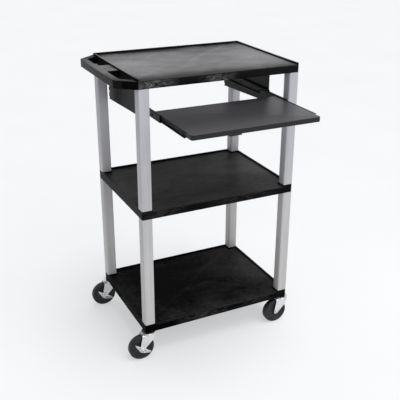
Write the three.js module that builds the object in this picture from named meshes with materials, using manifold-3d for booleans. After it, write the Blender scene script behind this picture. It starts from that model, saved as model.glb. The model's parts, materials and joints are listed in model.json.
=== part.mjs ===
// Audio visual cart: three moulded shelves on square tube legs, a push handle moulded into the
// top shelf, a keyboard tray that pulls out to the front on telescopic slides, and four swivel
// casters, two of them with a rocking brake pedal.
// Millimetres. -X is the handle side, -Y the front where the tray pulls out, +Z up.
// The origin is the middle of the whole cart's footprint on the floor, with the tray pulled out.

import * as THREE from 'three';
import { mergeVertices } from 'three/addons/utils/BufferGeometryUtils.js';
import Module from 'manifold-3d';

const wasm = await Module();
wasm.setup();

// Shared working values

const overrun = 2;
const fitGap = 0.3;
const weldDistance = 0.0001;
const right = 1;
const left = -1;
const rear = 1;
const front = -1;

// Shelves

const shelfLength = 609.6;
const shelfDepth = 457.2;
const shelfSpacing = 460;
const skirtHeight = 32.5;
const skirtWall = 5;
const lipHeight = 6.35;
const lipWidth = 6;
const deckThickness = 5;
const shelfCornerRadius = 6;
const frontEdgeRadius = 4;
const ribThickness = 3.2;
const ribDepth = 13;
const ribsAcross = 5;
const ribsAlong = 3;
const padMargin = 2;

// Push handle, moulded into the handle side of the top shelf

const handleReach = 65;
const handleFlatLength = 350;
const handleBarWidth = 24;
const handleBridgeWidth = 93;
const handleWall = 5;
const handleCornerRadius = 16;
const handHoleRadius = 6;

// Legs, and the shelf plugs that they push over

const legSide = 38.1;
const legWall = 2.5;
const legCornerRadius = 4.5;
const plugGap = 0.35;
const plugWall = 3;
const plugLength = 34;
const plugLeadIn = 2;

// Keyboard tray and its finger pull

const plateLegGap = 17;
const trayDepth = 287;
const trayThickness = 17;
const trayTopBelowLip = 121;
const trayFrontReach = 247.4;
const trayTravel = 308;
const trayCornerRadius = 10;
const trayEdgeRadius = 1.5;
const trayRearCornerRadius = 3;
const pullLength = 44;
const pullDepth = 14;
const pullHeight = 6;
const pullRearHeight = 3;
const pullSetback = 3;
const pullOffset = -82;
const pullCornerRadius = 3;
const pullRearCornerRadius = 1.5;

// Telescopic slides

const slideLength = 355.6;
const slideHeight = 33;
const slideWidth = 12.7;
const slideSheet = 1.3;
const slideSetback = 38;
const slideDrop = 1;
const slideBallSpace = 2.3;
const slideWebSpace = 2.6;
const slideRunningGap = 0.4;
const slideNesting = 1.5;
const middleSlideFrontSetback = 30;
const middleSlideRearSetback = 15;
const slideHoleRadius = 3.2;
const slideOpenings = 4;
const slideSlotLength = 16;

// Steel plates that hang the slides under the top shelf

const plateSheet = 2;
const plateFlangeWidth = 22;
const plateBendRadius = 3;
const plateBelowSlide = 16;
const plateRearDrop = 16;
const plateBehindSlide = 2;
const slideAheadOfPlate = 8;
const notchDepth = 6;
const notchHeight = 7;
const notchPitch = 22;
const notchCount = 3;
const bossSide = 28;

// Screws

const screwShankRadius = 2;
const screwHeadRadius = 4.4;
const screwHeadHeight = 1.9;
const screwHeadChamfer = 1;
const plateScrewLength = 12;
const outerScrewLength = 7;
const innerScrewLength = 9;
const screwEndInset = 18;

// Casters

const casterInset = 14;
const wheelDiameter = 98;
const wheelWidth = 24;
const wheelHubWidth = 27;
const wheelHubRadius = 12;
const wheelDish = 3.5;
const wheelShoulderRadius = 5;
const wheelTyreDepth = 10;
const casterTrail = 30;
const tyreClearance = 3;
const forkSheet = 3;
const forkInsideWidth = 30;
const forkBendRadius = 5;
const forkEndRadius = 9;
const forkEndAngle = THREE.MathUtils.degToRad(330);
const forkTopFront = 19;
const forkShoulderFront = 13;
const forkTopRear = 28;
const forkShoulderDrop = 25;
const crownRadius = 24;
const lowerRaceHeight = 3;
const upperRaceHeight = 3.2;
const upperRaceRadius = 26.5;
const raceStep = 1;
const raceRingWidth = 4;
const kingpinRadius = 5.5;
const kingpinHeadRadius = 8.5;
const kingpinHeadHeight = 2.5;
const kingpinHeadChamfer = 1.3;
const stemLength = 38;
const stemChamfer = 1.5;

// Axle bolt, nut and the sleeve that the wheel turns on

const axleRadius = 3;
const boltHeadAcrossFlats = 10;
const boltHeadHeight = 4;
const nutHeight = 5;
const boltEndPastNut = 1.5;
const sleeveWall = 1.7;

// Brake pedal

const pedalSheet = 2;
const pedalHalfLength = 38;
const pedalTipRise = 4.5;
const pedalTipHeight = 2.5;
const pedalFootHalfLength = 11;
const pedalFootDrop = 12;
const pedalFootRadius = 7;
const pedalHubRadius = 12;
const pedalRimDepth = 5;
const pedalRestTilt = THREE.MathUtils.degToRad(34);

// Numbers of facets

const cornerFacets = 2;
const holeFacets = 6;
const largeHoleFacets = 10;
const latheFacets = 24;
const screwFacets = 8;
const wheelFacets = 32;

// Colours

const shelfBlack = '#26272a';
const legGrey = '#a9a9ae';
const trayBlack = '#3c3c3f';
const steelBlack = '#17181a';
const zincGrey = '#c3c6cc';
const wheelBlack = '#2b2d2f';
const sleeveGrey = '#8a8c8e';

// Derived levels and places

const deckLevel = skirtHeight - lipHeight;
const deckUnderside = deckLevel - deckThickness;
const axleHeight = wheelDiameter / 2;
const crownUnderside = wheelDiameter + tyreClearance;
const crownTop = crownUnderside + forkSheet;
const upperRaceUnderside = crownTop + lowerRaceHeight + fitGap;
const casterHeight = upperRaceUnderside + upperRaceHeight;
const bottomShelfLevel = casterHeight;
const middleShelfLevel = bottomShelfLevel + shelfSpacing;
const topShelfLevel = middleShelfLevel + shelfSpacing;
const legLength = shelfSpacing - skirtHeight;
const legX = (shelfLength - legSide) / 2;
const legY = (shelfDepth - legSide) / 2;
const casterX = shelfLength / 2 - casterInset;
const casterY = shelfDepth / 2 - casterInset;
const plugSide = legSide - 2 * (legWall + plugGap);
const trayWidth = shelfLength - 2 * (legSide + plateLegGap + plateSheet + slideWidth);
const trayTop = topShelfLevel + skirtHeight - trayTopBelowLip;
const trayUnderside = trayTop - trayThickness;
const trayFront = -(shelfDepth / 2 + trayFrontReach);
const trayMid = trayUnderside + trayThickness / 2;
const slideMid = trayMid - slideDrop;
const innerSlideFront = trayFront + slideSetback;
const outerSlideFront = innerSlideFront + trayTravel;
const plateFace = trayWidth / 2 + slideWidth;
const plateFront = outerSlideFront + slideAheadOfPlate;
const plateRear = outerSlideFront + slideLength + plateBehindSlide;
const plateUnderside = slideMid - slideHeight / 2 - plateBelowSlide - plateRearDrop;
const forkOutside = forkInsideWidth / 2 + forkSheet;
const screwHoleRadius = screwShankRadius + fitGap;
const plateScrewX = plateFace - plateFlangeWidth / 2 + plateSheet;
const plateScrewPlaces = [plateFront + screwEndInset, plateRear - screwEndInset];
const outerScrewPlaces = [outerSlideFront + screwEndInset, outerSlideFront + slideLength - screwEndInset];
const innerScrewPlaces = [innerSlideFront + screwEndInset, trayFront + trayDepth - screwEndInset];

// Helpers: from three.js geometry to solids that can be joined and cut, and back

function solidOf(geometry) {
  const bare = geometry.clone();
  bare.deleteAttribute('normal');
  bare.deleteAttribute('uv');
  const welded = mergeVertices(bare, weldDistance);
  const mesh = new wasm.Mesh({
    numProp: 3,
    vertProperties: new Float32Array(welded.attributes.position.array),
    triVerts: new Uint32Array(welded.index.array),
  });
  return new wasm.Manifold(mesh);
}

function geometryOf(solid) {
  const mesh = solid.getMesh();
  const geometry = new THREE.BufferGeometry();
  geometry.setAttribute('position', new THREE.BufferAttribute(new Float32Array(mesh.vertProperties), 3));
  geometry.setIndex(new THREE.BufferAttribute(new Uint32Array(mesh.triVerts), 1));
  return geometry;
}

function join(...solids) {
  return solids.reduce((sum, solid) => sum.add(solid));
}

function cut(solid, ...cutters) {
  return cutters.reduce((rest, cutter) => rest.subtract(cutter), solid);
}

// A box between two values along each axis
function block([x0, x1], [y0, y1], [z0, z1]) {
  const geometry = new THREE.BoxGeometry(x1 - x0, y1 - y0, z1 - z0);
  geometry.translate((x0 + x1) / 2, (y0 + y1) / 2, (z0 + z1) / 2);
  return solidOf(geometry);
}

// A polygon with each corner rounded to its own radius, or left sharp where the radius is zero
function roundedPolygon(points, radii) {
  const shape = new THREE.Shape();
  points.forEach(([x, y], index) => {
    const corner = new THREE.Vector2(x, y);
    const before = new THREE.Vector2(...points[(index + points.length - 1) % points.length]);
    const after = new THREE.Vector2(...points[(index + 1) % points.length]);
    const toBefore = before.sub(corner).normalize();
    const toAfter = after.sub(corner).normalize();
    const radius = radii[index];
    if (radius === 0) {
      if (index === 0) shape.moveTo(x, y);
      else shape.lineTo(x, y);
      return;
    }
    const halfAngle = Math.acos(toBefore.dot(toAfter)) / 2;
    const start = corner.clone().addScaledVector(toBefore, radius / Math.tan(halfAngle));
    const end = corner.clone().addScaledVector(toAfter, radius / Math.tan(halfAngle));
    const inward = toBefore.clone().add(toAfter).normalize();
    const centre = corner.clone().addScaledVector(inward, radius / Math.sin(halfAngle));
    if (index === 0) shape.moveTo(start.x, start.y);
    else shape.lineTo(start.x, start.y);
    const startAngle = Math.atan2(start.y - centre.y, start.x - centre.x);
    const endAngle = Math.atan2(end.y - centre.y, end.x - centre.x);
    const clockwise = toBefore.cross(toAfter) > 0;
    shape.absarc(centre.x, centre.y, radius, startAngle, endAngle, clockwise);
  });
  shape.closePath();
  return shape;
}

function roundedRectangle([x0, x1], [y0, y1], radius) {
  return roundedPolygon([[x0, y0], [x1, y0], [x1, y1], [x0, y1]], [radius, radius, radius, radius]);
}

function circle(x, y, radius) {
  const shape = new THREE.Shape();
  shape.absarc(x, y, radius, 0, 2 * Math.PI, false);
  return shape;
}

// A slot with round ends along the first axis of its shape
function slot(x, y, length, radius) {
  const reach = length / 2 - radius;
  const shape = new THREE.Shape();
  shape.absarc(x + reach, y, radius, -Math.PI / 2, Math.PI / 2, false);
  shape.absarc(x - reach, y, radius, Math.PI / 2, 3 * Math.PI / 2, false);
  return shape;
}

// Prisms: a shape drawn in XY, XZ or YZ and stretched along the third axis
function stretched(shape, depth, facets) {
  return new THREE.ExtrudeGeometry(shape, { depth, bevelEnabled: false, curveSegments: facets });
}

function prismZ(shape, [z0, z1], facets = cornerFacets) {
  const geometry = stretched(shape, z1 - z0, facets);
  geometry.translate(0, 0, z0);
  return solidOf(geometry);
}

function prismY(shape, [y0, y1], facets = cornerFacets) {
  const geometry = stretched(shape, y1 - y0, facets);
  geometry.rotateX(Math.PI / 2);
  geometry.translate(0, y1, 0);
  return solidOf(geometry);
}

function prismX(shape, [x0, x1], facets = cornerFacets) {
  const geometry = stretched(shape, x1 - x0, facets);
  const alongX = new THREE.Matrix4().makeBasis(
    new THREE.Vector3(0, 1, 0),
    new THREE.Vector3(0, 0, 1),
    new THREE.Vector3(1, 0, 0),
  );
  geometry.applyMatrix4(alongX);
  geometry.translate(x0, 0, 0);
  return solidOf(geometry);
}

// A solid of revolution about Z from its half profile of [radius, height] pairs
function turnedZ(profile, facets = latheFacets) {
  const geometry = new THREE.LatheGeometry(profile.map(([r, z]) => new THREE.Vector2(r, z)), facets);
  geometry.rotateX(Math.PI / 2);
  return solidOf(geometry);
}

function hexagon(acrossFlats) {
  const cornerRadius = acrossFlats / Math.sqrt(3);
  const corners = Array.from({ length: 6 }, (_, index) => {
    const angle = index * Math.PI / 3;
    return new THREE.Vector2(cornerRadius * Math.cos(angle), cornerRadius * Math.sin(angle));
  });
  return new THREE.Shape(corners);
}

function piece(name, solid, colour, roughness, metalness) {
  const material = new THREE.MeshStandardMaterial({ color: colour, roughness, metalness });
  const mesh = new THREE.Mesh(geometryOf(solid), material);
  mesh.name = name;
  return mesh;
}

const shelfPlastic = (name, solid) => piece(name, solid, shelfBlack, 0.55, 0);
const legPlastic = (name, solid) => piece(name, solid, legGrey, 0.45, 0.2);
const blackSteel = (name, solid) => piece(name, solid, steelBlack, 0.5, 0.3);
const zincSteel = (name, solid) => piece(name, solid, zincGrey, 0.3, 1);

// Shelves

// A tapered-end plug that fills a leg tube, from the shelf outwards
function plug(x, y, [z0, z1]) {
  const half = plugSide / 2;
  const shape = roundedRectangle([x - half, x + half], [y - half, y + half], plugLeadIn);
  const geometry = new THREE.ExtrudeGeometry(shape, {
    depth: z1 - z0 - 2 * plugLeadIn,
    curveSegments: 1,
    bevelThickness: plugLeadIn,
    bevelSize: plugLeadIn,
    bevelOffset: -plugLeadIn,
    bevelSegments: 1,
  });
  geometry.translate(0, 0, z0 + plugLeadIn);
  return solidOf(geometry);
}

function legPlaces() {
  return [[left, front], [right, front], [left, rear], [right, rear]].map(([sideX, sideY]) => ({
    sideX,
    sideY,
    x: sideX * legX,
    y: sideY * legY,
    stemX: sideX * casterX,
    stemY: sideY * casterY,
    name: `${sideY === front ? 'front' : 'rear'}_${sideX === left ? 'left' : 'right'}`,
  }));
}

// A square block of material in one corner of a shelf
function cornerBlock({ sideX, sideY }, side, [z0, z1]) {
  const edgeX = sideX * shelfLength / 2;
  const edgeY = sideY * shelfDepth / 2;
  const insideX = edgeX - sideX * side;
  const insideY = edgeY - sideY * side;
  const spanX = [Math.min(edgeX, insideX), Math.max(edgeX, insideX)];
  const spanY = [Math.min(edgeY, insideY), Math.max(edgeY, insideY)];
  return block(spanX, spanY, [z0, z1]);
}

// The ribs under a deck: a lattice of straight walls hanging from the deck's underside
function ribs() {
  const span = [deckUnderside - ribDepth, deckUnderside + overrun];
  const across = Array.from({ length: ribsAcross }, (_, index) => {
    const x = shelfLength * ((index + 1) / (ribsAcross + 1) - 1 / 2);
    return block([x - ribThickness / 2, x + ribThickness / 2], [-shelfDepth / 2, shelfDepth / 2], span);
  });
  const along = Array.from({ length: ribsAlong }, (_, index) => {
    const y = shelfDepth * ((index + 1) / (ribsAlong + 1) - 1 / 2);
    return block([-shelfLength / 2, shelfLength / 2], [y - ribThickness / 2, y + ribThickness / 2], span);
  });
  return join(...across, ...along);
}

// What is taken off the deck's front edge to round it over
function frontEdgeRound(endInset) {
  const faceY = -shelfDepth / 2;
  const span = [-shelfLength / 2 + endInset, shelfLength / 2 - endInset];
  const corner = block(
    span,
    [faceY - overrun, faceY + frontEdgeRadius],
    [deckLevel - frontEdgeRadius, deckLevel + overrun],
  );
  const nose = circle(faceY + frontEdgeRadius, deckLevel - frontEdgeRadius, frontEdgeRadius);
  return cut(corner, prismX(nose, [span[0] - overrun, span[1] + overrun], holeFacets));
}

// The moulded tray-like body that all three shelves share: a deck with a raised lip on three
// sides, open at the front, and a skirt that stands proud of the ribs below
function shelfBody({ raisedPads, bosses, handle }) {
  const halfLength = shelfLength / 2;
  const halfDepth = shelfDepth / 2;
  const outline = roundedRectangle([-halfLength, halfLength], [-halfDepth, halfDepth], shelfCornerRadius);
  const blank = prismZ(outline, [0, skirtHeight]);
  const recess = block(
    [-halfLength + lipWidth, halfLength - lipWidth],
    [-halfDepth - overrun, halfDepth - lipWidth],
    [deckLevel, skirtHeight + overrun],
  );
  const padSide = legSide + padMargin;
  const pads = legPlaces().map((place) => cornerBlock(place, padSide, [0, skirtHeight + 2 * overrun]));
  const deckRecess = raisedPads ? cut(recess, ...pads) : recess;
  const roundInset = raisedPads ? padSide : lipWidth;
  const hollow = block(
    [-halfLength + skirtWall, halfLength - skirtWall],
    [-halfDepth + skirtWall, halfDepth - skirtWall],
    [-overrun, deckUnderside],
  );
  const blocks = legPlaces().map((place) => cornerBlock(place, padSide, [0, skirtHeight]));
  const hollows = cut(hollow, ribs(), ...blocks, ...bosses);
  const body = handle ? join(blank, handle) : blank;
  return cut(body, deckRecess, frontEdgeRound(roundInset), hollows);
}

// Four plugs on one face of a shelf, each with an open pocket
function plugsOn(face, direction) {
  return legPlaces().map(({ x, y }) => {
    const root = face - direction * plugLeadIn;
    const tip = face + direction * plugLength;
    return plug(x, y, [Math.min(root, tip), Math.max(root, tip)]);
  });
}

function plugPockets(face, direction) {
  const half = plugSide / 2 - plugWall;
  return legPlaces().map(({ x, y }) => {
    const tip = face + direction * (plugLength + overrun);
    return block([x - half, x + half], [y - half, y + half], [Math.min(face, tip), Math.max(face, tip)]);
  });
}

// How far the slanted end of the handle lies from the shelf's middle at a given X,
// drawn in by a given amount square to the slant
function slantY(x, inset) {
  const slope = (shelfDepth - handleFlatLength) / 2 / handleReach;
  const sinkAtX = (-shelfLength / 2 - x) * slope;
  return shelfDepth / 2 - sinkAtX - inset * Math.hypot(1, slope);
}

function handleOutline(inset, innerX, cornerRadius) {
  const outerX = -(shelfLength / 2 + handleReach) + inset;
  const points = [
    [innerX, -slantY(-shelfLength / 2, inset)],
    [innerX, slantY(-shelfLength / 2, inset)],
    [-shelfLength / 2, slantY(-shelfLength / 2, inset)],
    [outerX, slantY(outerX, inset)],
    [outerX, -slantY(outerX, inset)],
    [-shelfLength / 2, -slantY(-shelfLength / 2, inset)],
  ];
  return roundedPolygon(points, [0, 0, 0, cornerRadius, cornerRadius, 0]);
}

// One hand hole, or the same hole grown by a wall, on the front or rear half of the handle
function handHole(side, growth, span) {
  const outerX = -(shelfLength / 2 + handleReach) + handleBarWidth - growth;
  const innerX = -shelfLength / 2 + growth;
  const nearY = handleBridgeWidth / 2 - growth;
  const points = [
    [innerX, side * nearY],
    [innerX, side * slantY(innerX, handleBarWidth - growth)],
    [outerX, side * slantY(outerX, handleBarWidth - growth)],
    [outerX, side * nearY],
  ];
  const radius = handHoleRadius + growth;
  return prismZ(roundedPolygon(points, [0, radius, radius, radius]), span);
}

function pushHandle() {
  const outline = handleOutline(0, -shelfLength / 2 + skirtWall, handleCornerRadius);
  const solidBar = prismZ(outline, [0, deckLevel]);
  const throughSpan = [-overrun, deckLevel + overrun];
  const hollowSpan = [-overrun, deckLevel - handleWall];
  const hollowOutline = handleOutline(handleWall, -shelfLength / 2, handleCornerRadius - handleWall);
  const hollow = cut(
    prismZ(hollowOutline, hollowSpan),
    handHole(front, handleWall, throughSpan),
    handHole(rear, handleWall, throughSpan),
  );
  return cut(solidBar, hollow, handHole(front, 0, throughSpan), handHole(rear, 0, throughSpan));
}

function plateBosses() {
  return [left, right].flatMap((side) => plateScrewPlaces.map((y) => {
    const x = side * plateScrewX;
    const half = bossSide / 2;
    return block([x - half, x + half], [y - half, y + half], [0, deckUnderside + overrun]);
  }));
}

function plateScrewHoles() {
  return [left, right].flatMap((side) => plateScrewPlaces.map((y) => {
    const hole = circle(side * plateScrewX, y, screwHoleRadius);
    return prismZ(hole, [-overrun, plateScrewLength - plateSheet + fitGap], holeFacets);
  }));
}

function topShelf() {
  const body = shelfBody({ raisedPads: false, bosses: plateBosses(), handle: pushHandle() });
  return cut(join(body, ...plugsOn(0, left)), ...plugPockets(0, left), ...plateScrewHoles());
}

function middleShelf() {
  const body = shelfBody({ raisedPads: true, bosses: [], handle: null });
  const plugged = join(body, ...plugsOn(0, left), ...plugsOn(skirtHeight, right));
  return cut(plugged, ...plugPockets(0, left), ...plugPockets(skirtHeight, right));
}

function bottomShelf() {
  const body = shelfBody({ raisedPads: true, bosses: [], handle: null });
  const sockets = legPlaces().map(({ stemX, stemY }) => {
    const bore = circle(stemX, stemY, kingpinRadius + fitGap);
    return prismZ(bore, [-overrun, stemLength + fitGap], holeFacets);
  });
  return cut(join(body, ...plugsOn(skirtHeight, right)), ...sockets);
}

// Legs

function legTube() {
  const half = legSide / 2;
  const inside = half - legWall;
  const outline = roundedRectangle([-half, half], [-half, half], legCornerRadius);
  outline.holes.push(roundedRectangle([-inside, inside], [-inside, inside], legCornerRadius - legWall));
  return prismZ(outline, [0, legLength]);
}

// Keyboard tray

function keyboardTray() {
  const half = trayWidth / 2;
  const outline = roundedPolygon(
    [[-half, trayFront], [half, trayFront], [half, trayFront + trayDepth], [-half, trayFront + trayDepth]],
    [trayCornerRadius, trayCornerRadius, trayRearCornerRadius, trayRearCornerRadius],
  );
  const geometry = new THREE.ExtrudeGeometry(outline, {
    depth: trayThickness - 2 * trayEdgeRadius,
    curveSegments: cornerFacets,
    bevelThickness: trayEdgeRadius,
    bevelSize: trayEdgeRadius,
    bevelOffset: -trayEdgeRadius,
    bevelSegments: 2,
  });
  geometry.translate(0, 0, trayUnderside + trayEdgeRadius);
  const pilotHoles = [left, right].flatMap((side) => innerScrewPlaces.map((y) => {
    const inner = side * (half - innerScrewLength + slideSheet - fitGap);
    const outer = side * (half + overrun);
    const span = [Math.min(inner, outer), Math.max(inner, outer)];
    return prismX(circle(y, slideMid, screwHoleRadius), span, holeFacets);
  }));
  return cut(solidOf(geometry), ...pilotHoles);
}

// A moulded finger pull under the tray's front edge, nearer to the handle side
function trayPull() {
  const faceY = trayFront + pullSetback;
  const profile = roundedPolygon(
    [[faceY, trayUnderside], [faceY, trayUnderside - pullHeight],
      [faceY + pullDepth, trayUnderside - pullRearHeight], [faceY + pullDepth, trayUnderside]],
    [0, pullCornerRadius, pullRearCornerRadius, 0],
  );
  return prismX(profile, [pullOffset - pullLength / 2, pullOffset + pullLength / 2]);
}

// Telescopic slides: three nested channels of rolled sheet

// The cross-section of a channel in XZ. The web lies at webX, the flanges run from it to mouthX,
// and each flange ends in a lip that turns towards the middle.
function channelSection(height, webX, mouthX, lip) {
  const open = Math.sign(mouthX - webX);
  const half = height / 2;
  const sheet = slideSheet;
  const points = [
    [webX, -half],
    [mouthX, -half],
    [mouthX, -half + sheet + lip],
    [mouthX - open * sheet, -half + sheet + lip],
    [mouthX - open * sheet, -half + sheet],
    [webX + open * sheet, -half + sheet],
    [webX + open * sheet, half - sheet],
    [mouthX - open * sheet, half - sheet],
    [mouthX - open * sheet, half - sheet - lip],
    [mouthX, half - sheet - lip],
    [mouthX, half],
    [webX, half],
  ].map(([x, z]) => [x, z + slideMid]);
  const radii = [sheet, sheet, 0, 0, 0, 0, 0, 0, 0, 0, sheet, sheet];
  return roundedPolygon(points, lip > 0 ? radii : [sheet, 0, 0, 0, 0, 0, 0, 0, 0, 0, 0, sheet]);
}

const slideLip = slideBallSpace - slideRunningGap;
const middleSlideHeight = slideHeight - 2 * (slideSheet + slideBallSpace);
const innerSlideHeight = middleSlideHeight - 2 * (slideSheet + slideBallSpace);

// The span from the cart's middle plane to a distance out on one side
function fromMiddle(side, reach) {
  return side === right ? [0, reach] : [-reach, 0];
}

// Holes and slots through a channel's web, evenly along it
function webOpenings(side, [y0, y1]) {
  const spanX = fromMiddle(side, plateFace + overrun);
  const pitch = (y1 - y0) / (slideOpenings + 1);
  return Array.from({ length: slideOpenings }, (_, index) => {
    const y = y0 + pitch * (index + 1);
    const shape = index % 2 === 0
      ? slot(y, slideMid, slideSlotLength, slideHoleRadius)
      : circle(y, slideMid, slideHoleRadius);
    return prismX(shape, spanX, holeFacets / 2);
  });
}

function screwHolesX(side, places, radius) {
  const spanX = fromMiddle(side, plateFace + plateSheet + overrun);
  return places.map((y) => prismX(circle(y, slideMid, radius), spanX, holeFacets));
}

function outerSlide(side) {
  const span = [outerSlideFront, outerSlideFront + slideLength];
  const mouth = plateFace - slideWidth + slideNesting * 2;
  const section = channelSection(slideHeight, side * plateFace, side * mouth, slideLip);
  const channel = prismY(section, span, 1);
  return cut(channel, ...webOpenings(side, span), ...screwHolesX(side, outerScrewPlaces, screwHoleRadius));
}

function middleSlide(side) {
  const closedFront = outerSlideFront + middleSlideFrontSetback;
  const closedRear = outerSlideFront + slideLength - middleSlideRearSetback;
  const span = [closedFront - trayTravel / 2, closedRear - trayTravel / 2];
  const web = plateFace - slideSheet - slideWebSpace;
  const mouth = plateFace - slideWidth + slideNesting;
  const section = channelSection(middleSlideHeight, side * web, side * mouth, slideLip);
  return cut(prismY(section, span, 1), ...webOpenings(side, span));
}

function innerSlide(side) {
  const span = [innerSlideFront, innerSlideFront + slideLength];
  const web = trayWidth / 2;
  const mouth = plateFace - slideSheet - slideWebSpace - slideSheet - slideRunningGap * 2;
  const section = channelSection(innerSlideHeight, side * web, side * mouth, 0);
  return cut(prismY(section, span, 1), ...screwHolesX(side, innerScrewPlaces, screwHoleRadius));
}

// Steel plate: a tall web with a flange along its top, turned in over the tray, and a lower edge
// that falls towards the rear
function trayPlate(side) {
  const inside = side * plateFace;
  const outside = side * (plateFace + plateSheet);
  const flangeEnd = side * (plateFace + plateSheet - plateFlangeWidth);
  const points = [
    [outside, plateUnderside],
    [outside, topShelfLevel],
    [flangeEnd, topShelfLevel],
    [flangeEnd, topShelfLevel - plateSheet],
    [inside, topShelfLevel - plateSheet],
    [inside, plateUnderside],
  ];
  const section = roundedPolygon(points, [0, plateBendRadius, 0, 0, plateBendRadius - plateSheet, 0]);
  const sheet = prismY(section, [plateFront, plateRear]);
  const reach = [inside, outside].sort((a, b) => a - b);
  const belowLowerEdge = new THREE.Shape([
    new THREE.Vector2(plateFront - overrun, plateUnderside - overrun),
    new THREE.Vector2(plateRear, plateUnderside - overrun),
    new THREE.Vector2(plateRear, plateUnderside),
    new THREE.Vector2(plateFront - overrun, plateUnderside + plateRearDrop),
  ]);
  const lowerEdgeCut = prismX(belowLowerEdge, [reach[0] - overrun, reach[1] + overrun]);
  const notches = Array.from({ length: notchCount }, (_, index) => {
    const z = plateUnderside + notchHeight / 2 + notchPitch * index;
    return block(
      [reach[0] - overrun, reach[1] + overrun],
      [plateRear - notchDepth, plateRear + overrun],
      [z, z + notchHeight],
    );
  });
  const flangeHoles = plateScrewPlaces.map((y) => prismZ(
    circle(side * plateScrewX, y, screwHoleRadius),
    [topShelfLevel - plateSheet - overrun, topShelfLevel + overrun],
    holeFacets,
  ));
  const slideHoles = screwHolesX(side, outerScrewPlaces, screwHoleRadius);
  return cut(sheet, lowerEdgeCut, ...notches, ...flangeHoles, ...slideHoles);
}

// A pan-head screw standing on its head's seat at z = 0, shank pointing up
function panScrew(length) {
  return turnedZ([
    [0, -screwHeadHeight],
    [screwHeadRadius - screwHeadChamfer, -screwHeadHeight],
    [screwHeadRadius, 0],
    [screwShankRadius, 0],
    [screwShankRadius, length - screwShankRadius],
    [0, length],
  ], screwFacets);
}

// Casters, each drawn about its own swivel axis with the floor at z = 0

// A wheel turning about Y: rounded tread, dished faces and a raised hub
function wheel() {
  const radius = wheelDiameter / 2;
  const half = wheelWidth / 2;
  const hub = wheelHubWidth / 2;
  const bore = axleRadius + fitGap + sleeveWall + fitGap;
  const shoulder = wheelShoulderRadius;
  const rim = radius - wheelTyreDepth;
  const side = [
    [bore, hub],
    [wheelHubRadius, hub],
    [wheelHubRadius + (hub - half + wheelDish) / 2, half - wheelDish],
    [rim - wheelDish, half - wheelDish],
    [rim, half],
    [radius - shoulder, half],
    [radius - shoulder * (1 - Math.SQRT1_2), half - shoulder * (1 - Math.SQRT1_2)],
    [radius, half - shoulder],
  ];
  const otherSide = side.map(([r, y]) => [r, -y]);
  const loop = [...otherSide, ...side.reverse(), otherSide[0]];
  const profile = loop.map(([r, y]) => new THREE.Vector2(r, y));
  return solidOf(new THREE.LatheGeometry(profile, wheelFacets));
}

function sleeve() {
  const outline = circle(0, 0, axleRadius + fitGap + sleeveWall);
  outline.holes.push(circle(0, 0, axleRadius + fitGap));
  return prismY(outline, [-forkInsideWidth / 2 + fitGap, forkInsideWidth / 2 - fitGap], holeFacets);
}

// The fork is pressed from one sheet: a folded U seen from the front, trimmed to the side outline
function fork() {
  const insideHalf = forkInsideWidth / 2;
  const bottom = axleHeight - forkEndRadius - overrun;
  const points = [
    [-forkOutside, bottom],
    [-insideHalf, bottom],
    [-insideHalf, crownUnderside],
    [insideHalf, crownUnderside],
    [insideHalf, bottom],
    [forkOutside, bottom],
    [forkOutside, crownTop],
    [-forkOutside, crownTop],
  ];
  const innerBend = forkBendRadius - forkSheet;
  const bends = [0, 0, innerBend, innerBend, 0, 0, forkBendRadius, forkBendRadius];
  const foldedU = roundedPolygon(points, bends);
  const sheet = prismX(foldedU, [-forkTopRear - casterTrail, forkTopFront + overrun], cornerFacets);
  const sideOutline = new THREE.Shape();
  sideOutline.moveTo(-forkTopRear, crownTop + overrun);
  sideOutline.lineTo(-casterTrail - forkEndRadius, axleHeight);
  sideOutline.absarc(-casterTrail, axleHeight, forkEndRadius, Math.PI, forkEndAngle, false);
  sideOutline.lineTo(forkShoulderFront, crownTop - forkShoulderDrop);
  sideOutline.lineTo(forkTopFront, crownTop + overrun);
  sideOutline.closePath();
  const trim = prismY(sideOutline, [-forkOutside - overrun, forkOutside + overrun], holeFacets);
  const crown = turnedZ([
    [0, crownUnderside],
    [crownRadius, crownUnderside],
    [crownRadius, crownTop],
    [crownRadius - raceStep, crownTop],
    [crownRadius - raceStep, crownTop + raceStep],
    [crownRadius - raceRingWidth, upperRaceUnderside - fitGap],
    [0, upperRaceUnderside - fitGap],
  ]);
  const kingpinHole = prismZ(circle(0, 0, kingpinRadius + fitGap),
    [crownUnderside - overrun, upperRaceUnderside + overrun], largeHoleFacets);
  const axleHole = prismY(circle(-casterTrail, axleHeight, axleRadius + fitGap),
    [-forkOutside - overrun, forkOutside + overrun], holeFacets);
  return cut(join(sheet.intersect(trim), crown), kingpinHole, axleHole);
}

// Kingpin, upper race and the stem that pushes up into the shelf, riveted into one piece
function stem() {
  const headTop = crownUnderside - fitGap;
  return turnedZ([
    [0, headTop - kingpinHeadHeight],
    [kingpinHeadRadius - kingpinHeadChamfer, headTop - kingpinHeadHeight],
    [kingpinHeadRadius, headTop - kingpinHeadHeight + kingpinHeadChamfer],
    [kingpinHeadRadius, headTop],
    [kingpinRadius, headTop],
    [kingpinRadius, upperRaceUnderside],
    [upperRaceRadius - raceRingWidth, upperRaceUnderside],
    [upperRaceRadius, upperRaceUnderside + raceStep],
    [upperRaceRadius, casterHeight - raceStep],
    [upperRaceRadius - raceStep, casterHeight],
    [kingpinRadius, casterHeight],
    [kingpinRadius, casterHeight + stemLength - stemChamfer],
    [kingpinRadius - stemChamfer, casterHeight + stemLength],
    [0, casterHeight + stemLength],
  ]);
}

// Hex bolt along Y through the fork, its head on the front face, or on the brake pedal's web
function axleBolt(headSeat) {
  const end = forkOutside + nutHeight + boltEndPastNut;
  const shank = prismY(circle(0, 0, axleRadius), [headSeat - overrun, end], holeFacets);
  const head = prismY(hexagon(boltHeadAcrossFlats), [headSeat - boltHeadHeight, headSeat]);
  return join(shank, head);
}

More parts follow.
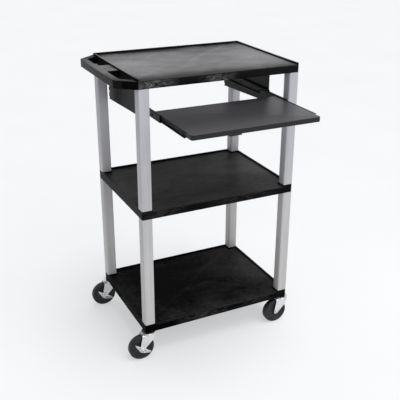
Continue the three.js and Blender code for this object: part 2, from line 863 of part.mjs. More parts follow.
function axleNut() {
  const hex = hexagon(boltHeadAcrossFlats);
  hex.holes.push(circle(0, 0, axleRadius + fitGap));
  return prismY(hex, [forkOutside, forkOutside + nutHeight], holeFacets);
}

// The pedal's outline without its hub, drawn in by a given amount along its lower edges
function pedalWings(inset, top) {
  const tipBottom = pedalTipRise - pedalTipHeight;
  const run = pedalHalfLength - pedalFootHalfLength;
  const slope = (tipBottom + pedalFootDrop) / run;
  const shift = inset * Math.hypot(1, slope) / slope;
  const foot = -pedalFootDrop + inset;
  const footHalf = pedalFootHalfLength - shift + inset / slope;
  const tip = pedalHalfLength - shift;
  return roundedPolygon(
    [[-footHalf, foot], [footHalf, foot], [tip, tipBottom], [tip, top], [-tip, top], [-tip, tipBottom]],
    [pedalFootRadius - inset, pedalFootRadius - inset, 0, 0, 0, 0],
  );
}

// Rocking brake pedal: a flat pressed plate with pointed wings that turns on the axle bolt in front
// of the fork, with a rim turned outwards along its lower edges for the foot
function brakePedal() {
  const rearFace = -forkOutside - fitGap;
  const frontFace = rearFace - pedalSheet;
  const rimFace = frontFace - pedalRimDepth;
  const hub = prismY(circle(0, 0, pedalHubRadius), [frontFace, rearFace], wheelFacets / 2);
  const wings = prismY(pedalWings(0, pedalTipRise), [frontFace, rearFace]);
  const rimBlank = prismY(pedalWings(0, pedalTipRise), [rimFace, rearFace]);
  const inside = prismY(pedalWings(pedalSheet, pedalTipRise + overrun), [rimFace - overrun, frontFace]);
  const holeSpan = [frontFace - overrun, rearFace + overrun];
  const hole = prismY(circle(0, 0, axleRadius + fitGap), holeSpan, holeFacets);
  return cut(join(hub, wings, cut(rimBlank, inside)), hole);
}

// Assembly

const cart = new THREE.Group();
cart.name = 'audio_visual_cart';

function place(parent, mesh, x, y, z) {
  mesh.position.set(x, y, z);
  parent.add(mesh);
  return mesh;
}

place(cart, shelfPlastic('top_shelf', topShelf()), 0, 0, topShelfLevel);
place(cart, shelfPlastic('middle_shelf', middleShelf()), 0, 0, middleShelfLevel);
place(cart, shelfPlastic('bottom_shelf', bottomShelf()), 0, 0, bottomShelfLevel);

for (const { x, y, name } of legPlaces()) {
  place(cart, legPlastic(`upper_leg_${name}`, legTube()), x, y, middleShelfLevel + skirtHeight);
  place(cart, legPlastic(`lower_leg_${name}`, legTube()), x, y, bottomShelfLevel + skirtHeight);
}

cart.add(piece('keyboard_tray', keyboardTray(), trayBlack, 0.5, 0));
cart.add(piece('tray_pull', trayPull(), steelBlack, 0.5, 0));

for (const [side, word] of [[left, 'left'], [right, 'right']]) {
  cart.add(blackSteel(`${word}_tray_plate`, trayPlate(side)));
  cart.add(blackSteel(`${word}_outer_slide`, outerSlide(side)));
  cart.add(blackSteel(`${word}_middle_slide`, middleSlide(side)));
  cart.add(blackSteel(`${word}_inner_slide`, innerSlide(side)));
  const ends = ['front', 'rear'];
  ends.forEach((end, index) => {
    const plateScrew = zincSteel(`plate_screw_${end}_${word}`, panScrew(plateScrewLength));
    place(cart, plateScrew, side * plateScrewX, plateScrewPlaces[index], topShelfLevel - plateSheet);
    const outerScrew = zincSteel(`outer_slide_screw_${end}_${word}`, panScrew(outerScrewLength));
    outerScrew.rotation.y = side * Math.PI / 2;
    place(cart, outerScrew, side * (plateFace - slideSheet), outerScrewPlaces[index], slideMid);
    const innerScrew = zincSteel(`inner_slide_screw_${end}_${word}`, panScrew(innerScrewLength));
    innerScrew.rotation.y = -side * Math.PI / 2;
    place(cart, innerScrew, side * (trayWidth / 2 + slideSheet), innerScrewPlaces[index], slideMid);
  });
}

for (const { stemX, stemY, sideX, name } of legPlaces()) {
  const caster = new THREE.Group();
  caster.position.set(stemX, stemY, 0);
  cart.add(caster);
  const braked = sideX === left;
  const pedalStack = braked ? pedalSheet + 2 * fitGap : 0;
  caster.add(zincSteel(`caster_stem_${name}`, stem()));
  caster.add(zincSteel(`caster_fork_${name}`, fork()));
  const axle = new THREE.Group();
  axle.position.set(-casterTrail, 0, axleHeight);
  caster.add(axle);
  axle.add(piece(`caster_wheel_${name}`, wheel(), wheelBlack, 0.6, 0));
  axle.add(piece(`wheel_sleeve_${name}`, sleeve(), sleeveGrey, 0.4, 0.6));
  axle.add(zincSteel(`axle_bolt_${name}`, axleBolt(-forkOutside - pedalStack)));
  axle.add(zincSteel(`axle_nut_${name}`, axleNut()));
  if (braked) {
    const pedal = zincSteel(`brake_pedal_${name}`, brakePedal());
    pedal.rotation.y = pedalRestTilt;
    axle.add(pedal);
  }
}

// The origin moves to the middle of the whole footprint
const leftmost = -(shelfLength / 2 + handleReach);
const rightmost = casterX + upperRaceRadius;
const rearmost = casterY + upperRaceRadius;
cart.position.set(-(leftmost + rightmost) / 2, -(trayFront + rearmost) / 2, 0);
cart.updateMatrixWorld(true);

export default cart;
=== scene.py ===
# %% [markdown]
# # Audio visual cart
#
# The real cart is three black shelves moulded in structural foam, standing on square grey plastic
# legs, with a push handle moulded into the top shelf, a keyboard tray on steel ball slides and four
# swivel casters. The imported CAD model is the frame: it stays where it is. Pieces whose CAD shape is
# right keep their mesh and get a finish and soft edges, and the pieces that are turned, rounded or
# pressed on the real cart are modelled again here with Blender's own tools.

# %% Load the frame
import json
import math

import bpy
import bmesh
from mathutils import Matrix, Vector


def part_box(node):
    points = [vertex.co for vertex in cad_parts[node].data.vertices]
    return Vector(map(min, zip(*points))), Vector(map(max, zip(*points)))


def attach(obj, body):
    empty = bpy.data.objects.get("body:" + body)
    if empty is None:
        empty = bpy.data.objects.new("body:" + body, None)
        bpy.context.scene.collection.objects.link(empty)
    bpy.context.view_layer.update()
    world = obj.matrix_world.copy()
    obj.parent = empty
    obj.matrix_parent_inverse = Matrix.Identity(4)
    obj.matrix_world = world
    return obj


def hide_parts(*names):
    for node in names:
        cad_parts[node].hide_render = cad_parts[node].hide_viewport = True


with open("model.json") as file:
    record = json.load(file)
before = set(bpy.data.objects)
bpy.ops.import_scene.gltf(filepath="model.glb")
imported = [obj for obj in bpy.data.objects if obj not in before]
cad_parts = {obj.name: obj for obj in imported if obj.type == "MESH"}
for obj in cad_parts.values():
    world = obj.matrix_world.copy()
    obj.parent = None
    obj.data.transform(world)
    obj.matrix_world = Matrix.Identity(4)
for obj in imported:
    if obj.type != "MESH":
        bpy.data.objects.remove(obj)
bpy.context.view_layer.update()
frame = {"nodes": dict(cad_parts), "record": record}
nodes = frame["nodes"]
MM = 0.001
print("CAD nodes:", len(nodes))

# %% [markdown]
# ## Where things are
#
# Every size that a new piece needs is read from the CAD piece that it stands for, so the two can't
# drift apart. The record lists which nodes move together as one body, and each new piece rides on
# the body of its node.

# %% Named places
CORNERS = ("front_left", "front_right", "rear_left", "rear_right")
LEFT_CORNERS = ("front_left", "rear_left")
SIDES = {"left": -1, "right": 1}
BODY_OF = {}
for body, members in frame["record"]["behaviour"]["bodies"].items():
    for member in members:
        BODY_OF[member] = body


def centre_of(node):
    low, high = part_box(node)
    return (low + high) / 2


def size_of(node):
    low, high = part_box(node)
    return high - low


wheel_size = size_of("caster_wheel_front_left")
print("wheel diameter %.1f mm, width %.1f mm" % (wheel_size.x / MM, wheel_size.y / MM))

# %% [markdown]
# ## Small helpers for modelling
#
# Modelling by hand in Blender is a rhythm: add a primitive, go into edit mode, pick some faces or
# edges, use a tool on them. These helpers keep that rhythm short. `pick` selects by a test on each
# face, edge or corner. `settle` names a piece and moves its place and turn into its mesh, because
# every finished piece has its object at the origin. `copy_at` makes one more of a finished piece,
# with a mesh of its own.


# %% Helpers for modelling
def select_only(piece):
    bpy.ops.object.select_all(action="DESELECT")
    piece.select_set(True)
    bpy.context.view_layer.objects.active = piece


def settle(name):
    piece = bpy.context.object
    piece.name = name
    piece.data.name = name
    bpy.ops.object.transform_apply(location=True, rotation=True, scale=True)
    return piece


def open_piece():
    bpy.ops.object.mode_set(mode="EDIT")


def pick(kind, test):
    bpy.ops.mesh.select_mode(type=kind)
    bpy.ops.mesh.select_all(action="DESELECT")
    mesh = bmesh.from_edit_mesh(bpy.context.object.data)
    parts = {"FACE": mesh.faces, "EDGE": mesh.edges, "VERT": mesh.verts}[kind]
    chosen = [part for part in parts if test(part)]
    for part in chosen:
        part.select_set(True)
    bmesh.update_edit_mesh(bpy.context.object.data)
    return len(chosen)


def close_piece(smooth_degrees=35):
    bpy.ops.object.mode_set(mode="OBJECT")
    bpy.ops.object.shade_smooth_by_angle(angle=math.radians(smooth_degrees))
    return bpy.context.object


def copy_at(piece, name, place=(0, 0, 0), turn=(0, 0, 0)):
    select_only(piece)
    bpy.ops.object.duplicate()
    copy = bpy.context.object
    copy.location = place
    copy.rotation_euler = turn
    return settle(name)


def discard(piece):
    bpy.data.objects.remove(piece, do_unlink=True)


def cut_away(piece, cutter):
    """Takes the cutter's volume out of a piece, and removes the cutter."""
    select_only(piece)
    cut = piece.modifiers.new("cut", "BOOLEAN")
    cut.object = cutter
    cut.operation = "DIFFERENCE"
    cut.solver = "EXACT"
    bpy.ops.object.modifier_apply(modifier=cut.name)
    discard(cutter)


def faces_along(axis, sign=None):
    """A test for faces that look along an axis, or only to one side of it."""
    def looks(face):
        along = face.normal[axis]
        return along * sign > 0.99 if sign else abs(along) > 0.99
    return looks


def edge_along(axis):
    """A test for edges that run along an axis."""
    def runs(edge):
        way = edge.verts[1].co - edge.verts[0].co
        return abs(way[axis]) > 0.99 * way.length
    return runs


def edge_within(test):
    """A test for edges whose two ends both pass a test on a corner's place."""
    return lambda edge: all(test(corner.co) for corner in edge.verts)


NEAR = 0.05 * MM
MERGE_DISTANCE = 0.02 * MM


def close_to(value, target, slack=NEAR):
    return abs(value - target) < slack


print("helpers ready")

# %% [markdown]
# ## Small helpers for materials
#
# A colour is written as the hex value that it shows on a screen, and one function turns it into the
# linear values that the renderer works in. Another function adds a node to a material, sets its
# plain values and wires its inputs, so each recipe below reads as a short list.


# %% Helpers for materials
def linear(hex_colour):
    channels = [int(hex_colour[i:i + 2], 16) / 255 for i in (1, 3, 5)]
    return [c / 12.92 if c <= 0.04045 else ((c + 0.055) / 1.055) ** 2.4 for c in channels] + [1.0]


class Recipe:
    """A material under construction: a node tree with one principled shader."""

    def __init__(self, name):
        self.material = bpy.data.materials.new(name)
        self.material.use_nodes = True
        self.tree = self.material.node_tree
        self.tree.nodes.clear()
        self.output = self.tree.nodes.new("ShaderNodeOutputMaterial")
        self.shader = self.tree.nodes.new("ShaderNodeBsdfPrincipled")
        self.tree.links.new(self.shader.outputs["BSDF"], self.output.inputs["Surface"])

    def wire(self, value, socket):
        """Sets a socket to a plain value, or links it to another node's output."""
        if isinstance(value, bpy.types.NodeSocket):
            self.tree.links.new(value, socket)
        else:
            socket.default_value = value

    def add(self, kind, values=None, inputs=None, **settings):
        node = self.tree.nodes.new("ShaderNode" + kind)
        for key, value in settings.items():
            setattr(node, key, value)
        for key, value in (values or {}).items():
            node.inputs[key].default_value = value
        for key, socket in (inputs or {}).items():
            self.tree.links.new(socket, node.inputs[key])
        return node

    def place(self, scale=(1, 1, 1), turn=(0, 0, 0), centre=(0, 0, 0)):
        """Object coordinates in metres, moved, turned and stretched."""
        where = self.add("TexCoord").outputs["Object"]
        shift = self.vector("SUBTRACT", where, centre)
        return self.add("Mapping", {"Scale": scale, "Rotation": turn}, {"Vector": shift}).outputs["Vector"]

    def noise(self, where, scale, detail=3.0, roughness=0.5, distortion=0.0):
        values = {"Scale": scale, "Detail": detail, "Roughness": roughness, "Distortion": distortion}
        return self.add("TexNoise", values, {"Vector": where}).outputs["Fac"]

    def remap(self, socket, low, high, to_low=0.0, to_high=1.0):
        values = {"From Min": low, "From Max": high, "To Min": to_low, "To Max": to_high}
        return self.add("MapRange", values, {"Value": socket}).outputs["Result"]

    def math(self, operation, first, second):
        node = self.add("Math", operation=operation)
        self.wire(first, node.inputs[0])
        self.wire(second, node.inputs[1])
        return node.outputs["Value"]

    def vector(self, operation, first, second=(0, 0, 0)):
        node = self.add("VectorMath", operation=operation)
        self.wire(first, node.inputs[0])
        self.wire(second, node.inputs[1])
        return node.outputs["Value" if operation in ("LENGTH", "DOT_PRODUCT") else "Vector"]

    def mix(self, factor, first, second):
        node = self.add("Mix", data_type="RGBA")
        self.wire(factor, node.inputs["Factor"])
        self.wire(first, [s for s in node.inputs if s.name == "A" and s.type == "RGBA"][0])
        self.wire(second, [s for s in node.inputs if s.name == "B" and s.type == "RGBA"][0])
        return [s for s in node.outputs if s.type == "RGBA"][0]

    def bump(self, height, strength, distance):
        values = {"Strength": strength, "Distance": distance}
        return self.add("Bump", values, {"Height": height}).outputs["Normal"]

    def set(self, **sockets):
        for key, value in sockets.items():
            self.wire(value, self.shader.inputs[key.replace("_", " ")])
        return self.material


# %% [markdown]
# ## Structural-foam plastic
#
# The shelves are moulded from foamed plastic. The melt comes in at a few gates, and the gas in it leaves
# pale, silky marks on the black skin that run outwards from each gate. To draw them, the place on the
# shelf is written as a direction from the gate and a distance, and a noise that changes quickly with
# direction but slowly with distance gives rays. Where the melt from two gates meets, a weld line stays; on
# these shelves they run from corner to corner. On the decks, and most on the top deck, these marks and a
# broad pale cloud under them are drawn paler than real marks would be: they also carry painted sheen, the
# pale glow of a deck seen at a low angle. The skirts carry pale scuffs in a few places only. A fine grain
# roughens the skin; real grain is about 0.3 mm, and it is drawn at 1.5 mm so that it still shows from
# where the camera stands.


# %% Structural-foam plastic
def near(r, spot, reach):
    """1 at a spot, falling to 0 at the reach."""
    return r.remap(r.vector("LENGTH", r.place(centre=spot)), 0.0, reach, 1.0, 0.0)


def rays_from(r, gate, count):
    """Streaks that run outwards from a gate, from 0 to 1."""
    away = r.place(centre=gate)
    flat = r.vector("NORMALIZE", r.vector("MULTIPLY", away, (1, 1, 0.2)))
    turned = r.vector("MULTIPLY", flat, (count, count, count))
    stretched = r.vector("MULTIPLY", away, (5.0, 5.0, 9.0))
    streaks = r.noise(r.vector("ADD", turned, stretched), 1.0, 6.0, 0.6, 0.8)
    return r.remap(streaks, 0.42, 0.76)


def weld_lines(r, centre, half):
    """Thin wavering lines along both diagonals of a shelf."""
    waver = r.remap(r.noise(r.place(), 4.0, 3.0), 0.3, 0.7, -0.09, 0.09)
    share = r.vector("ABSOLUTE", r.vector("DIVIDE", r.place(centre=centre), (half.x, half.y, 1)))
    gap = r.math("ADD", r.vector("DOT_PRODUCT", share, (1, -1, 0)), waver)
    return r.remap(r.math("ABSOLUTE", gap, 0), 0.0, 0.06, 1.0, 0.0)


def lying_share(r):
    """1 on skins that lie flat, such as a deck, and 0 on skins that stand, such as a skirt."""
    normal = r.add("NewGeometry").outputs["Normal"]
    upward = r.math("ABSOLUTE", r.vector("DOT_PRODUCT", normal, (0, 0, 1)), 0)
    return r.remap(upward, 0.3, 0.9)


def towards_edge(r, centre, half, start, ends=1.0):
    """0 over the middle of a shelf, rising to 1 at its long walls, and at its ends if asked."""
    share = r.vector("ABSOLUTE", r.vector("DIVIDE", r.place(centre=centre), (half.x, half.y, 1)))
    lengthwise = r.vector("DOT_PRODUCT", share, (ends, 0, 0))
    widthwise = r.vector("DOT_PRODUCT", share, (0, 1, 0))
    return r.remap(r.math("MAXIMUM", lengthwise, widthwise), start, 1.0)


BORDER = 0.5 * MM


def between(r, low_x, high_x):
    """1 where X lies between the two values, with a soft border at each."""
    x = r.vector("DOT_PRODUCT", r.place(), (1, 0, 0))
    above_low = r.remap(x, low_x - BORDER, low_x + BORDER)
    below_high = r.remap(x, high_x - BORDER, high_x + BORDER, 1.0, 0.0)
    return r.math("MULTIPLY", above_low, below_high)


def spot_on(shelf, x_share, y_share, z_share=1.0):
    """A point of a shelf's box; the shares run from -1 to 1 out from its middle."""
    half = size_of(shelf) / 2
    return centre_of(shelf) + Vector((half.x * x_share, half.y * y_share, half.z * z_share))


RAY_CONTRAST = 0.24
PLAIN_FLOW = 0.68
HANDLE_DARKER = 0.16
PAINTED_HOLE_SHADE = "#010101"
HOLE_WALL_ROUGHER = 0.5
FAR_LEFT = -1.0


def foam_plastic(name, shelf, base, mark_and_sheen_colour, gates, scuffs, bloom, weld_gain, edge, shine, handle=None):
    """Gates on the deck are (x share, y share, ray count, reach, gain), scuffs on the front skirt are (x
    share, reach, gain). The handle is the stretch of X that holds the hand holes' walls, which get a
    painted shade."""
    r = Recipe(name)
    centre, half = centre_of(shelf), size_of(shelf) / 2
    cloud = r.noise(r.place((1.0, 1.6, 1.0), (0, 0, 0.5)), 4.0, 5.0, 0.55, 1.6)
    mottle = r.noise(r.place(), 60.0, 6.0, 0.7, 0.6)
    lying = r.math("ADD", r.remap(cloud, 0.30, 0.72, *bloom), r.remap(mottle, 0.3, 0.7, -0.025, 0.025))
    for x_share, y_share, count, reach, gain in gates:
        gate = spot_on(shelf, x_share, y_share)
        pull = r.math("MULTIPLY", near(r, gate, reach), gain)
        streaks = r.math("MULTIPLY", rays_from(r, gate, count), RAY_CONTRAST)
        rays = r.math("ADD", streaks, PLAIN_FLOW)
        lying = r.math("ADD", lying, r.math("MULTIPLY", pull, rays))
    lying = r.math("ADD", lying, r.math("MULTIPLY", weld_lines(r, centre, half), weld_gain))
    edge_start, edge_gain = edge
    edge_share = towards_edge(r, centre, half, edge_start, 0.0 if handle else 1.0)
    rim = r.math("MULTIPLY", edge_share, edge_gain)
    lying = r.math("ADD", lying, r.math("MULTIPLY", rim, r.remap(mottle, 0.3, 0.6, 0.8, 1.1)))
    wisps = r.remap(r.noise(r.place((2, 3, 7), (0.2, 0.5, 0)), 9.0, 7.0, 0.7, 2.5), 0.42, 0.66)
    standing = 0.0
    for x_share, reach, gain in scuffs:
        patch = r.math("MULTIPLY", near(r, spot_on(shelf, x_share, -1, 0), reach), gain)
        standing = r.math("ADD", standing, r.math("MULTIPLY", wisps, patch))
    if handle:
        on_handle = between(r, FAR_LEFT, handle[1])
        lying = r.math("SUBTRACT", lying, r.math("MULTIPLY", on_handle, HANDLE_DARKER))
    share = lying_share(r)
    upright = r.math("SUBTRACT", 1.0, share)
    # The pale marks on the lying skin are real flow marks plus painted sheen.
    marks_and_sheen = r.math("ADD", r.math("MULTIPLY", lying, share), r.math("MULTIPLY", standing, upright))
    colour = r.mix(marks_and_sheen, linear(base), linear(mark_and_sheen_colour))
    grain = r.noise(r.place(), 650.0, 2.0)
    height = r.math("ADD", grain, r.math("MULTIPLY", mottle, 0.5))
    rough = r.math("SUBTRACT", r.remap(grain, 0.3, 0.7, 0.39, 0.45), r.math("MULTIPLY", marks_and_sheen, 0.08))
    if handle:
        # Painted shade: the hand holes' walls are coloured near black.
        hole_shade = r.math("MULTIPLY", between(r, *handle), upright)
        colour = r.mix(hole_shade, colour, linear(PAINTED_HOLE_SHADE))
        rough = r.math("ADD", rough, r.math("MULTIPLY", hole_shade, HOLE_WALL_ROUGHER))
    return r.set(Base_Color=colour, Roughness=rough, IOR=1.5, Specular_IOR_Level=shine,
                 Normal=r.bump(height, 0.2, 0.0004))


# The walls inside the hand holes get a painted shade: they are coloured near black and made rougher. They
# lie between the handle's bar and the deck.
HANDLE_BAR = 23 * MM
DECK_WALL = 1 * MM
hole_walls = (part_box("top_shelf")[0].x + HANDLE_BAR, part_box("middle_shelf")[0].x + DECK_WALL)

foam_top = foam_plastic(
    "structural_foam_top", "top_shelf", base="#080809", mark_and_sheen_colour="#a2a2a4",
    gates=((-0.62, 0.05, 4.0, 0.30, 0.62), (0.86, 0.0, 4.0, 0.46, 0.60)),
    scuffs=((-0.66, 0.10, 0.55), (0.05, 0.08, 0.5)),
    bloom=(0.02, 0.18), weld_gain=0.07, edge=(0.64, -0.30), shine=0.08, handle=hole_walls)
# The middle and bottom shelves are the same plastic as the top one, but they get a darker base, dimmer
# marks and less shine: painted shade from the shelves above them.
foam_middle = foam_plastic(
    "structural_foam_middle", "middle_shelf", base="#070707", mark_and_sheen_colour="#8c8c8c",
    gates=((0.1, 0.1, 5.0, 0.40, 0.04), (-0.9, 0, 4.0, 0.25, 0.08), (0.9, -0.1, 4.0, 0.26, 0.22)),
    scuffs=((-0.75, 0.12, 0.14), (0.3, 0.2, 0.10)),
    bloom=(-0.03, 0.07), weld_gain=0.025, edge=(0.70, 0.06), shine=0.032)
foam_bottom = foam_plastic(
    "structural_foam_bottom", "bottom_shelf", base="#030303", mark_and_sheen_colour="#8c8c8c",
    gates=((0.80, 0.0, 4.0, 0.34, 0.15), (-0.8, -0.1, 4.0, 0.22, 0.05), (-0.2, -0.85, 4.0, 0.22, 0.10)),
    scuffs=((-0.25, 0.12, 0.28), (0.5, 0.2, 0.1)),
    bloom=(-0.06, 0.00), weld_gain=0.018, edge=(0.60, 0.06), shine=0.01)
print("made", foam_top.name, foam_middle.name, foam_bottom.name)

# %% [markdown]
# ## Leg plastic
#
# The legs are extruded square tubes in a nickel grey with a faint sheen. Extrusion draws very fine lines
# along the tube, so the noise is stretched twenty times along Z, and wider soft bands come from small
# differences in the die. The colour also changes with height: lighter and neutral low down, as painted
# light from the bright floor, and darker and a little lavender higher up, as painted shade and tint under
# the shelves.


# %% Leg plastic
def leg_plastic():
    r = Recipe("nickel_grey_extrusion")
    lines = r.noise(r.place((1, 1, 0.05)), 240.0, 3.0, 0.6)
    bands = r.noise(r.place((1, 1, 0.02)), 60.0, 2.0)
    cloud = r.noise(r.place(), 7.0, 3.0)
    shade = r.math("ADD", r.remap(lines, 0.3, 0.7, 0.0, 0.35), r.remap(bands, 0.35, 0.65, 0.0, 0.4))
    shade = r.math("ADD", shade, r.remap(cloud, 0.3, 0.7, 0.0, 0.25))
    # Painted light and shade: lighter low down, where the floor lights the tube, darker and lavender
    # higher up, under the shelves.
    height = r.remap(r.vector("DOT_PRODUCT", r.place(), (0, 0, 1)), 0.2, 1.0)
    floor_lit_colour = r.mix(shade, linear("#b0afaf"), linear("#c4c3c2"))
    shelf_shaded_colour = r.mix(shade, linear("#a2a2a8"), linear("#b6b5bc"))
    colour = r.mix(height, floor_lit_colour, shelf_shaded_colour)
    rough = r.remap(lines, 0.3, 0.7, 0.38, 0.50)
    return r.set(Base_Color=colour, Metallic=0.05, Roughness=rough, IOR=1.46, Specular_IOR_Level=0.25,
                 Normal=r.bump(lines, 0.08, 0.0002))


leg_grey = leg_plastic()
print("made", leg_grey.name)


# %% [markdown]
# ## Tray board, black mouldings and black steel
#
# The tray is a board with a black laminate skin: nearly smooth, with a soft speckle that breaks up its
# reflections. Its top is coloured charcoal, and its edges, where the same skin wraps over, near black as a
# painted shade. The finger pull is a glossier moulding. The plates and slides are cold-rolled steel under
# thin black paint, with a slight orange peel; the paint on the slides is rubbed a little paler along the
# way that they run, and these pale streaks also stand in for the slides' glints as painted highlights.


# %% Tray board, black mouldings and black steel
def laminate():
    r = Recipe("black_laminate")
    speckle = r.noise(r.place(), 900.0, 2.0)
    cloud = r.noise(r.place(), 6.0, 3.0)
    face = r.mix(r.remap(speckle, 0.35, 0.65), linear("#353538"), linear("#3d3d41"))
    # Painted shade: the standing edges are coloured darker than the top.
    colour = r.mix(lying_share(r), linear("#151517"), face)
    rough = r.math("ADD", r.remap(cloud, 0.3, 0.7, 0.36, 0.42), r.remap(speckle, 0.3, 0.7, -0.02, 0.02))
    return r.set(Base_Color=colour, Roughness=rough, IOR=1.5, Specular_IOR_Level=0.3,
                 Normal=r.bump(speckle, 0.1, 0.0002))


def black_moulding():
    r = Recipe("black_moulding")
    grain = r.noise(r.place(), 500.0, 2.0)
    colour = r.mix(r.remap(grain, 0.3, 0.7), linear("#0e0e0f"), linear("#161617"))
    return r.set(Base_Color=colour, Roughness=r.remap(grain, 0.3, 0.7, 0.34, 0.42), IOR=1.5,
                 Specular_IOR_Level=0.25, Normal=r.bump(grain, 0.15, 0.0002))


def black_steel(name, base, rubbed, gain):
    r = Recipe(name)
    peel = r.noise(r.place(), 380.0, 2.0)
    # Pale streaks along the run: rubbed paint, and on the slides also painted glints.
    rub = r.noise(r.place((6, 0.25, 6)), 60.0, 4.0, 0.6)
    amount = r.math("MULTIPLY", r.remap(rub, 0.5, 0.75), gain)
    colour = r.mix(amount, linear(base), linear(rubbed))
    rough = r.remap(peel, 0.3, 0.7, 0.34, 0.44)
    return r.set(Base_Color=colour, Roughness=rough, IOR=1.5, Specular_IOR_Level=0.07,
                 Normal=r.bump(peel, 0.2, 0.0002))


tray_black = laminate()
moulding_black = black_moulding()
plate_steel = black_steel("painted_plate_steel", "#0b0b0d", "#17171a", 0.5)
slide_steel = black_steel("rubbed_slide_steel", "#0b0b0c", "#55565a", 0.6)
print("made", tray_black.name, moulding_black.name, plate_steel.name, slide_steel.name)


# %% [markdown]
# ## Zinc, sintered steel and wheel rubber
#
# Bright zinc plate is a metal with a pale grey colour and a slightly uneven gloss. The screws in the
# slides are coloured near black and only partly metallic, so that they show no bright glint. The sleeve in
# each wheel is sintered and oiled, so darker and duller. The wheels are moulded in a smooth, hard,
# near-black rubber that gathers a pale dust of fine scuffs on its tread.


# %% Zinc, sintered steel and wheel rubber
def zinc():
    r = Recipe("bright_zinc_plate")
    patches = r.noise(r.place(), 45.0, 4.0, 0.6)
    fine = r.noise(r.place(), 420.0, 2.0)
    colour = r.mix(r.remap(patches, 0.3, 0.7), linear("#d2d3d5"), linear("#e8e8e9"))
    rough = r.math("ADD", r.remap(patches, 0.3, 0.7, 0.22, 0.34), r.remap(fine, 0.3, 0.7, -0.02, 0.02))
    return r.set(Base_Color=colour, Metallic=1.0, Roughness=rough, Normal=r.bump(fine, 0.06, 0.0002))


def dark_screw_metal():
    r = Recipe("dark_screw_metal_finish")
    worn = r.noise(r.place(), 300.0, 3.0, 0.6)
    colour = r.mix(r.remap(worn, 0.35, 0.75), linear("#141416"), linear("#2e2f32"))
    rough = r.remap(worn, 0.3, 0.7, 0.38, 0.52)
    return r.set(Base_Color=colour, Metallic=0.6, Roughness=rough, Normal=r.bump(worn, 0.06, 0.0002))


def sintered():
    r = Recipe("sintered_steel")
    pores = r.noise(r.place(), 1500.0, 2.0)
    colour = r.mix(r.remap(pores, 0.4, 0.6), linear("#66676a"), linear("#85868a"))
    return r.set(Base_Color=colour, Metallic=1.0, Roughness=r.remap(pores, 0.3, 0.7, 0.40, 0.55))


def wheel_rubber():
    r = Recipe("hard_wheel_rubber")
    scuff = r.noise(r.place((1, 4, 1)), 120.0, 5.0, 0.65)
    cloud = r.noise(r.place(), 35.0, 3.0)
    dust = r.math("MULTIPLY", r.remap(scuff, 0.55, 0.75), r.remap(cloud, 0.4, 0.7, 0.1, 0.5))
    colour = r.mix(dust, linear("#1d1f20"), linear("#4a4c4e"))
    rough = r.math("ADD", 0.44, r.math("MULTIPLY", dust, 0.2))
    return r.set(Base_Color=colour, Roughness=rough, IOR=1.5, Specular_IOR_Level=0.3,
                 Normal=r.bump(scuff, 0.12, 0.0002))


zinc_plate = zinc()
dark_screw_finish = dark_screw_metal()
sleeve_steel = sintered()
rubber = wheel_rubber()
print("made", zinc_plate.name, dark_screw_finish.name, sleeve_steel.name, rubber.name)

# %% [markdown]
# ## Which finish goes where
#
# Each CAD node has one finish, and the same function also names its material slot of the record, which
# nothing here uses. A new piece that stands for a node takes its finish from the same function.


# %% Which finish goes where
def finish_for(node):
    if node.endswith("_shelf"):
        skins = {"top_shelf": foam_top, "middle_shelf": foam_middle, "bottom_shelf": foam_bottom}
        return skins[node], "shelf_plastic"
    if "_leg_" in node:
        return leg_grey, "leg_plastic"
    if node == "keyboard_tray":
        return tray_black, "tray_board"
    if node == "tray_pull":
        return moulding_black, "black_plastic"
    if node.endswith("_tray_plate"):
        return plate_steel, "black_steel"
    if node.endswith("_slide"):
        return slide_steel, "black_steel"
    if node.startswith("caster_wheel"):
        return rubber, "wheel_rubber"
    if node.startswith("wheel_sleeve"):
        return sleeve_steel, "bearing_steel"
    if "_slide_screw_" in node:
        return dark_screw_finish, "zinc_steel"
    return zinc_plate, "zinc_steel"


def dress(piece, node):
    piece.data.materials.clear()
    piece.data.materials.append(finish_for(node)[0])


def stand_for(piece, node):
    """A new piece takes a CAD node's finish, rides with its body and is shown in its place."""
    dress(piece, node)
    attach(piece, BODY_OF[node])
    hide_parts(node)
    return piece


for node in nodes:
    dress(nodes[node], node)
print("dressed", len(nodes))

# %% [markdown]
# ## Top shelf with a hand-friendly handle
#
# The push handle is part of the top shelf's moulding, and its upper edge is rounded for the hand
# with a much larger radius than the other edges. The CAD mesh is copied and merged, so that its
# faces share corners again. Then the handle's outer edge and the rims of the hand holes are picked
# by where they lie and which way the wall below them looks, and each group gets its own radius.

# %% Top shelf with a hand-friendly handle
HANDLE_ROUNDING = 5 * MM
HOLE_RIM_ROUNDING = 1.8 * MM
SHELF_EDGE = 1.6 * MM


def merged_copy(node, name):
    """A new piece from a CAD mesh, open in edit mode, whose faces share corners again."""
    twin = bpy.data.objects.new(name, nodes[node].data.copy())
    twin.matrix_world = nodes[node].matrix_world
    bpy.context.scene.collection.objects.link(twin)
    select_only(twin)
    settle(name)
    open_piece()
    bpy.ops.mesh.select_all(action="SELECT")
    bpy.ops.mesh.remove_doubles(threshold=MERGE_DISTANCE)
    return twin


def handle_edge(level, deck_x, outer):
    """A test for the square upper edges of the handle: its outer edge, or the rims of its holes."""
    def lies(edge):
        middle = (edge.verts[0].co + edge.verts[1].co) / 2
        on_top = all(close_to(corner.co.z, level) for corner in edge.verts)
        if not on_top or middle.x > deck_x - MM or edge.calc_face_angle(0) < math.radians(60):
            return False
        wall = min(edge.link_faces, key=lambda face: abs(face.normal.z))
        looks_out = wall.normal.x < -0.3 and middle.x < deck_x - 10 * MM
        return looks_out == outer
    return lies


